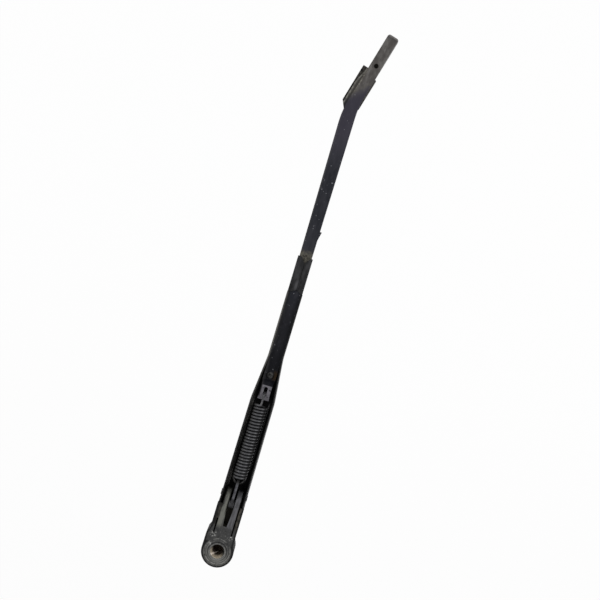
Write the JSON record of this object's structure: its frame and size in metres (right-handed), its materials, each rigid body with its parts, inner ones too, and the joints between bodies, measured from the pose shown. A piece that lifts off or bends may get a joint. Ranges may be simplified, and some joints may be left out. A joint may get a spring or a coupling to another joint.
{
  "type": "wiper arm",
  "caption": "Car wiper arm on its back: spindle boss, forked head, folded channel with tension spring, and a flat strip that bends at the blade end.",
  "frame": {"origin": "on the spindle axis, in the plane of the outer face on which the arm lies", "axes": "+Z along the spindle axis out of the glass side, +X from the spindle along the arm to the tip, +Y to the arm's left seen from the glass side"},
  "size_m": [0.4635, 0.0356, 0.0195],
  "materials": {
    "head_casting": "matte",
    "black_paint": "satin",
    "worn_strip": "satin",
    "spring_steel": "satin",
    "zinc_steel": "satin",
    "bush_plastic": "matte"
  },
  "bodies": {
    "head": {"mounting_head": "head_casting", "nut_cap": "bush_plastic", "hinge_bush_left": "bush_plastic", "hinge_bush_right": "bush_plastic", "spring_pin": "zinc_steel"},
    "arm": {"arm_channel": "black_paint", "hinge_rivet_left": "black_paint", "hinge_rivet_right": "black_paint", "arm_strip": "worn_strip", "strip_rivet": "black_paint", "stop_plate": "black_paint"},
    "link": {"spring_link": "zinc_steel"},
    "spring": {"tension_spring": "spring_steel"}
  },
  "joints": [
    {"name": "arm_lift", "type": "hinge", "parent": "head", "child": "arm", "pos_m": [0.045, 0, 0.0075], "axis": [0, 1, 0], "range_deg": [0, 60], "stiffness_Nm_per_rad": 0.4, "springref_deg": -143.24},
    {"name": "link_swing", "type": "hinge", "parent": "head", "child": "link", "pos_m": [0.04, 0, 0.015], "axis": [0, 1, 0], "range_deg": [0, 55.4]},
    {"name": "spring_stretch", "type": "slide", "parent": "link", "child": "spring", "axis": [0.9983, 0, -0.0581], "range_m": [0, 0.00397], "deforming": ["tension_spring"]}
  ],
  "couplings": [
    {"joint": "link_swing", "follows": "arm_lift", "ratio": 0.91948},
    {"joint": "spring_stretch", "follows": "arm_lift", "m_per_rad": 0.0036947}
  ]
}
